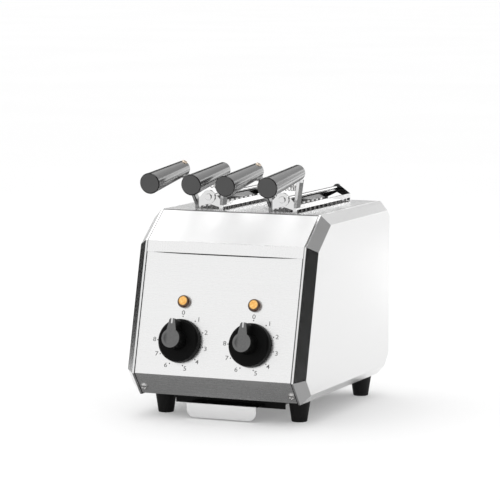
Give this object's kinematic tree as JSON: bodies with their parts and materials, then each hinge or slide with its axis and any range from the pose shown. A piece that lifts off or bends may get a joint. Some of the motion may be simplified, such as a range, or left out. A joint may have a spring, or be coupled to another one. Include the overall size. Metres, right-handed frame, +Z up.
{
  "type": "slot toaster with sandwich tongs",
  "caption": "Upright stainless slot toaster for filled sandwiches, with lift-out sprung tongs, timer knobs, indicator lamps and a pull-out crumb tray.",
  "frame": {"origin": "on the table, under the centre of the outline", "axes": "+X to the right seen from the front, +Y to the back, +Z up"},
  "size_m": [0.21, 0.31, 0.2774],
  "materials": {
    "panel_steel": "satin stainless sheet",
    "inner_steel": "plain stainless sheet",
    "tong_steel": "bright stainless sheet and wire",
    "fastener_steel": "bright plated steel",
    "tray_steel": "plain stainless sheet",
    "handle_black": "glossy moulded plastic",
    "knob_black": "satin moulded plastic",
    "foot_black": "matt rubber",
    "lamp_amber": "clear amber plastic",
    "timer_dark": "matt moulded plastic",
    "quartz": "milky quartz tube",
    "ceramic_white": "unglazed ceramic",
    "gland_black": "matt plastic"
  },
  "bodies": {
    "toaster": {"base_plate": "inner_steel", "front_panel": "panel_steel", "top_cover": "panel_steel", "rear_panel": "panel_steel", "side_panel_left": "panel_steel", "side_panel_right": "panel_steel", "panel_screws": "fastener_steel", "side_panel_nuts": "fastener_steel", "foot_front_left": "foot_black", "foot_front_right": "foot_black", "foot_rear_left": "foot_black", "foot_rear_right": "foot_black", "foot_screws": "fastener_steel", "tray_rail_left": "inner_steel", "tray_rail_right": "inner_steel", "front_bulkhead": "inner_steel", "rear_bulkhead": "inner_steel", "reflectors": "inner_steel", "heater_tubes": "quartz", "heater_caps": "ceramic_white", "guard_wires_left": "inner_steel", "guard_wires_right": "inner_steel", "timer_left": "timer_dark", "timer_right": "timer_dark", "timer_screws": "fastener_steel", "lamp_lens_left": "lamp_amber", "lamp_lens_right": "lamp_amber", "lamp_holders": "timer_dark", "terminal_block": "ceramic_white", "cable_gland": "gland_black", "gland_nut": "gland_black"},
    "tray": {"crumb_tray": "tray_steel"},
    "left_knob": {"timer_shaft_left": "fastener_steel", "knob_left": "knob_black"},
    "right_knob": {"timer_shaft_right": "fastener_steel", "knob_right": "knob_black"},
    "left_tong": {"left_tong_rod": "tong_steel", "left_tong_spring": "tong_steel"},
    "left_tong_jaw_a_body": {"left_tong_jaw_a": "tong_steel", "left_tong_grid_a": "tong_steel", "left_tong_rest_a": "tong_steel", "left_tong_handle_a": "handle_black", "left_tong_screw_a": "fastener_steel"},
    "left_tong_jaw_b_body": {"left_tong_jaw_b": "tong_steel", "left_tong_grid_b": "tong_steel", "left_tong_rest_b": "tong_steel", "left_tong_handle_b": "handle_black", "left_tong_screw_b": "fastener_steel"},
    "right_tong": {"right_tong_rod": "tong_steel", "right_tong_spring": "tong_steel"},
    "right_tong_jaw_a_body": {"right_tong_jaw_a": "tong_steel", "right_tong_grid_a": "tong_steel", "right_tong_rest_a": "tong_steel", "right_tong_handle_a": "handle_black", "right_tong_screw_a": "fastener_steel"},
    "right_tong_jaw_b_body": {"right_tong_jaw_b": "tong_steel", "right_tong_grid_b": "tong_steel", "right_tong_rest_b": "tong_steel", "right_tong_handle_b": "handle_black", "right_tong_screw_b": "fastener_steel"}
  },
  "joints": [
    {"name": "tray_slide", "type": "slide", "parent": "toaster", "child": "tray", "axis": [0, -1, 0], "range_m": [0, 0.2]},
    {"name": "left_timer_turn", "type": "hinge", "parent": "toaster", "child": "left_knob", "pos_m": [-0.0415, -0.12534, 0.08689], "axis": [0, 0.9679, -0.2513], "range_deg": [0, 270]},
    {"name": "right_timer_turn", "type": "hinge", "parent": "toaster", "child": "right_knob", "pos_m": [0.0415, -0.12534, 0.08689], "axis": [0, 0.9679, -0.2513], "range_deg": [0, 270]},
    {"name": "left_tong_lift", "type": "slide", "parent": "toaster", "child": "left_tong", "axis": [0, 0, 1], "range_m": [0, 0.17]},
    {"name": "left_tong_open_b", "type": "hinge", "parent": "left_tong", "child": "left_tong_jaw_b_body", "pos_m": [-0.044, 0.04053, 0.237], "axis": [0, -1, 0], "range_deg": [0, 6], "stiffness_Nm_per_rad": 1.5, "springref_deg": -8.59, "deforming": ["left_tong_spring"]},
    {"name": "left_tong_open_a", "type": "hinge", "parent": "left_tong", "child": "left_tong_jaw_a_body", "pos_m": [-0.044, 0.04053, 0.237], "axis": [0, 1, 0], "range_deg": [0, 6], "stiffness_Nm_per_rad": 1.5, "springref_deg": -8.59},
    {"name": "right_tong_lift", "type": "slide", "parent": "toaster", "child": "right_tong", "axis": [0, 0, 1], "range_m": [0, 0.17]},
    {"name": "right_tong_open_b", "type": "hinge", "parent": "right_tong", "child": "right_tong_jaw_b_body", "pos_m": [0.044, 0.04053, 0.237], "axis": [0, -1, 0], "range_deg": [0, 6], "stiffness_Nm_per_rad": 1.5, "springref_deg": -8.59, "deforming": ["right_tong_spring"]},
    {"name": "right_tong_open_a", "type": "hinge", "parent": "right_tong", "child": "right_tong_jaw_a_body", "pos_m": [0.044, 0.04053, 0.237], "axis": [0, 1, 0], "range_deg": [0, 6], "stiffness_Nm_per_rad": 1.5, "springref_deg": -8.59}
  ],
  "couplings": [
    {"joint": "left_tong_open_a", "follows": "left_tong_open_b", "ratio": 1},
    {"joint": "right_tong_open_a", "follows": "right_tong_open_b", "ratio": 1}
  ]
}
